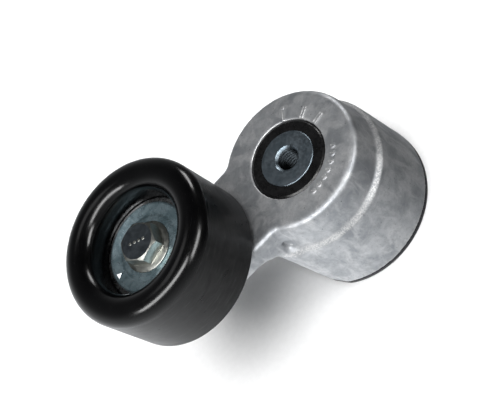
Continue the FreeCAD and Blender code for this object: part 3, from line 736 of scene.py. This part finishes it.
piece("head_dots", head_dots(), [ZINC_BOLT], "arm", "zinc_steel")


def wound(node):
    """The coil of a CAD node as a mesh of its own."""
    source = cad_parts[node]
    mesh = source.data.copy()
    mesh.transform(source.matrix_world)
    mesh.name = "coil"
    mesh.materials.clear()
    return mesh


spring = piece("coil_spring", wound("torsion_spring"), [SPRING], None, "spring_steel", "torsion_spring")
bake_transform(spring)

# ---- CAD nodes that keep their own mesh ----------------------------------------------
KEPT = {
    "base_plate": BLACK_STEEL, "rear_thrust_washer": NYLON, "friction_ring": NYLON,
    "stop_pin": GROUND, "spring_anchor": GROUND,
    "rear_bushing": BUSH, "front_bushing": BUSH, "bearing_cage": CAGE,
}
KEPT.update({"bearing_ball_%d" % k: BALL for k in range(1, 8)})
for node, look in KEPT.items():
    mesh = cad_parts[node].data
    mesh.materials.clear()
    mesh.materials.append(look)

# ---- camera, as fitted to the photograph ---------------------------------------------
AIM = Vector((23.65, 3.27, 60.0)) * MM
DISTANCE = 422.67 * MM
AZIMUTH, ELEVATION, ROLL = 195.43, 49.44, -58.19
FOCAL, SENSOR = 68.93, 36.0
SHIFT_X, SHIFT_Y = -0.0031, -0.001


def direction(azimuth, elevation):
    """Unit vector that points from the object to a place at this azimuth and elevation."""
    a, e = math.radians(azimuth), math.radians(elevation)
    return Vector((math.cos(a) * math.cos(e), math.sin(a) * math.cos(e), math.sin(e)))


back = direction(AZIMUTH - 90.0, ELEVATION)
lens = bpy.data.cameras.new("camera")
lens.lens, lens.sensor_width = FOCAL, SENSOR
lens.shift_x, lens.shift_y = SHIFT_X, SHIFT_Y
lens.clip_start, lens.clip_end = 0.01, 20.0
camera = bpy.data.objects.new("camera", lens)
scene.collection.objects.link(camera)
camera.rotation_mode = "QUATERNION"
camera.location = AIM + back * DISTANCE
camera.rotation_quaternion = (-back).to_track_quat("-Z", "Y") @ Quaternion((0, 0, 1), math.radians(ROLL))
scene.camera = camera

# ---- floor and light -----------------------------------------------------------------
FLOOR_HALF, FLOOR_Z = 3.0, -0.0001    # in metres
corners = [(x * FLOOR_HALF, y * FLOOR_HALF, 0) for x, y in ((-1, -1), (1, -1), (1, 1), (-1, 1))]
floor_mesh = bpy.data.meshes.new("floor")
floor_mesh.from_pydata(corners, [], [(0, 1, 2, 3)])
floor_mesh.materials.append(floor_paper())
floor = bpy.data.objects.new("floor", floor_mesh)
scene.collection.objects.link(floor)
floor.location.z = FLOOR_Z
floor.visible_glossy = False

CENTRE = Vector((30.0, 0.0, 60.0)) * MM


def softbox(name, azimuth, elevation, distance, width, height, radiance, toward=None,
            glossy=True, diffuse=True, shadow=True):
    """Rectangular lamp facing the object; radiance is what a mirror would show of it."""
    lamp = bpy.data.lights.new(name, "AREA")
    lamp.shape = "RECTANGLE"
    lamp.size, lamp.size_y = width, height
    lamp.energy = radiance * math.pi * width * height
    lamp.use_shadow = shadow
    made = bpy.data.objects.new(name, lamp)
    scene.collection.objects.link(made)
    out = direction(azimuth, elevation)
    along = toward - out * toward.dot(out) if toward else out.orthogonal()
    along.normalize()
    made.location = CENTRE + out * distance
    made.rotation_mode = "QUATERNION"
    made.rotation_quaternion = Matrix((along, out.cross(along), out)).transposed().to_quaternion()
    made.visible_glossy = glossy
    made.visible_diffuse = diffuse


softbox("overhead", 60, 86, 1.3, 1.3, 1.3, 5.8, glossy=False)
softbox("fill", 0, 89, 1.3, 1.5, 1.5, 0.4, glossy=False, shadow=False)
softbox("key_strip", 66.8, 52.4, 0.8, 1.0, 0.19, 12.0,
        toward=direction(115, 52) - direction(30, 40), diffuse=False)
softbox("right_box", 139, 26, 0.8, 0.45, 0.2, 11.0,
        toward=direction(155, 21) - direction(123, 30), diffuse=False)
softbox("shield_box", -43, 76, 0.8, 0.36, 0.26, 0.9, diffuse=False)
softbox("top_box", 220, 14, 0.8, 0.34, 0.14, 9.0,
        toward=direction(209, 20) - direction(230, 7), diffuse=False)

# The studio round the object, as (height of the direction, level): palest below, dark
# overhead.  It grows brighter toward one side, and stays at a least level on the other.
ROOM = ((-1.0, 0.8), (-0.3, 0.58), (-0.05, 0.4), (0.08, 0.4),
        (0.3, 0.25), (0.5, 0.12), (0.7, 0.066), (1.0, 0.06))
BRIGHT_SIDE = (1.28, 0.23, 0.0)
LEAST_SIDE = 0.06
world = bpy.data.worlds.new("studio")
scene.world = world
world.use_nodes = True
tree = world.node_tree
sky = tree.nodes.new("ShaderNodeTexCoord").outputs["Generated"]
split = tree.nodes.new("ShaderNodeSeparateXYZ")
height = tree.nodes.new("ShaderNodeMapRange")
height.inputs["From Min"].default_value = -1.0
ramp = tree.nodes.new("ShaderNodeValToRGB")
side = tree.nodes.new("ShaderNodeVectorMath")
side.operation = "DOT_PRODUCT"
side.inputs[1].default_value = BRIGHT_SIDE
lift = tree.nodes.new("ShaderNodeMath")
lift.inputs[1].default_value = 1.0
tree.links.new(sky, split.inputs[0])
tree.links.new(split.outputs[2], height.inputs["Value"])
tree.links.new(height.outputs["Result"], ramp.inputs[0])
tree.links.new(sky, side.inputs[0])
tree.links.new(side.outputs["Value"], lift.inputs[0])
least = tree.nodes.new("ShaderNodeMath")
least.operation = "MAXIMUM"
least.inputs[1].default_value = LEAST_SIDE
tree.links.new(lift.outputs[0], least.inputs[0])
background = tree.nodes["Background"]
tree.links.new(least.outputs[0], background.inputs["Strength"])
tree.links.new(ramp.outputs[0], background.inputs["Color"])
stops = ramp.color_ramp.elements
while len(stops) < len(ROOM):
    stops.new(0.5)
for stop, (place, level) in zip(stops, ROOM):
    stop.position = (place + 1) / 2
    stop.color = (level * 0.98, level, level * 1.02, 1.0)

scene.view_settings.view_transform = "Standard"
scene.view_settings.look = "None"
